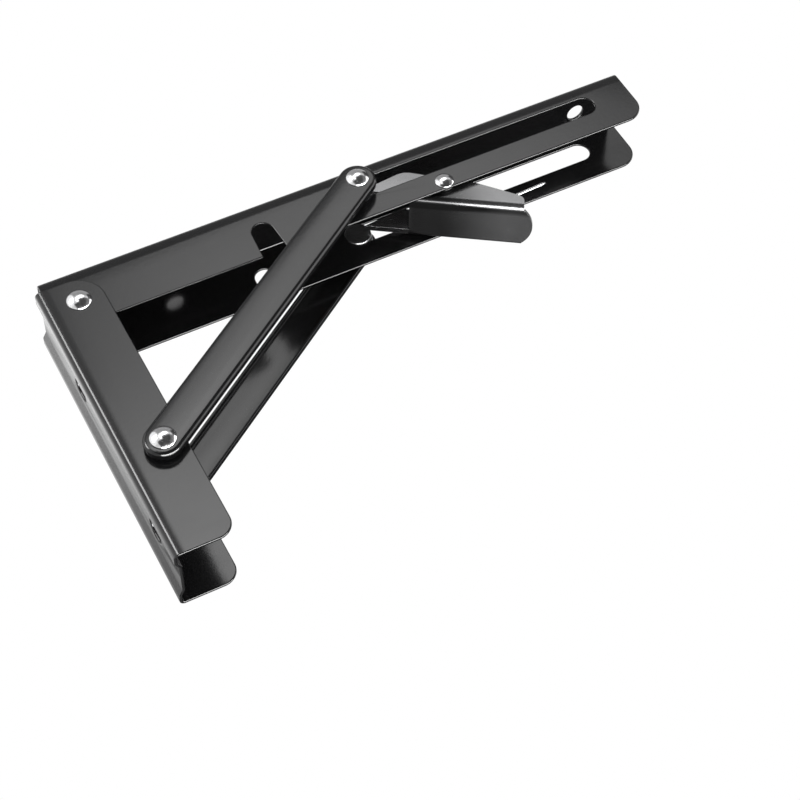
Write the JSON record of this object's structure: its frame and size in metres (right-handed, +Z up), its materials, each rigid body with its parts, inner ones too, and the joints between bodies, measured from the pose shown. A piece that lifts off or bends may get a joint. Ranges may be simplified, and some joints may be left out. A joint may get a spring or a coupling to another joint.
{
  "type": "folding shelf bracket",
  "caption": "Folding shelf bracket: two folded-sheet arms joined by a pivot, with pressed side braces that run in a slot and a sprung latch.",
  "frame": {"origin": "middle of the wall screw pattern, on the outer face of the recessed web that the wall screws hold", "axes": "+X points out of the wall, along the open shelf arm; +Y lies across the bracket, to the far side; +Z points up"},
  "size_m": [0.3033, 0.0552, 0.1617],
  "materials": {
    "black_paint": "gloss",
    "dark_plating": "satin",
    "bright_rivet": "polished",
    "grey_steel": "satin",
    "spring_wire": "bright",
    "red_sleeve": "gloss"
  },
  "bodies": {
    "wall": {"wall_arm": "black_paint", "pivot_rivet_near": "bright_rivet", "pivot_rivet_far": "bright_rivet", "wall_axle": "bright_rivet", "wall_sleeve": "grey_steel", "wall_collar_near": "grey_steel", "wall_collar_far": "grey_steel"},
    "shelf": {"shelf_arm": "black_paint", "latch_axle": "bright_rivet", "latch_washer_near": "grey_steel", "latch_washer_far": "grey_steel", "latch_spring": "spring_wire", "sleeve_pin": "grey_steel", "soft_sleeve": "red_sleeve"},
    "braces": {"brace_near": "black_paint", "brace_far": "black_paint", "brace_rivet_near": "bright_rivet", "brace_rivet_far": "bright_rivet"},
    "slider": {"slot_bush_near": "grey_steel", "slot_bush_far": "grey_steel", "slot_pin_near": "dark_plating", "slot_pin_far": "dark_plating"},
    "latch": {"latch": "dark_plating"}
  },
  "joints": [
    {"name": "fold", "type": "hinge", "parent": "wall", "child": "shelf", "pos_m": [0.0147, 0, 0.0745], "axis": [0, 1, 0], "range_deg": [0, 90]},
    {"name": "brace_swing", "type": "hinge", "parent": "wall", "child": "braces", "pos_m": [0.0167, 0, -0.0158], "axis": [0, 1, 0], "range_deg": [0, 123.5]},
    {"name": "slot_slide", "type": "slide", "parent": "shelf", "child": "slider", "axis": [1, 0, 0], "range_m": [0, 0.1184]},
    {"name": "latch_release", "type": "hinge", "parent": "shelf", "child": "latch", "pos_m": [0.1936, 0, 0.0671], "axis": [0, -1, 0], "range_deg": [0, 25], "stiffness_Nm_per_rad": 0.12, "springref_deg": -20.05}
  ],
  "couplings": [
    {"joint": "brace_swing", "follows": "fold", "ratio": 1.371},
    {"joint": "slot_slide", "follows": "fold", "m_per_rad": 0.07536}
  ]
}
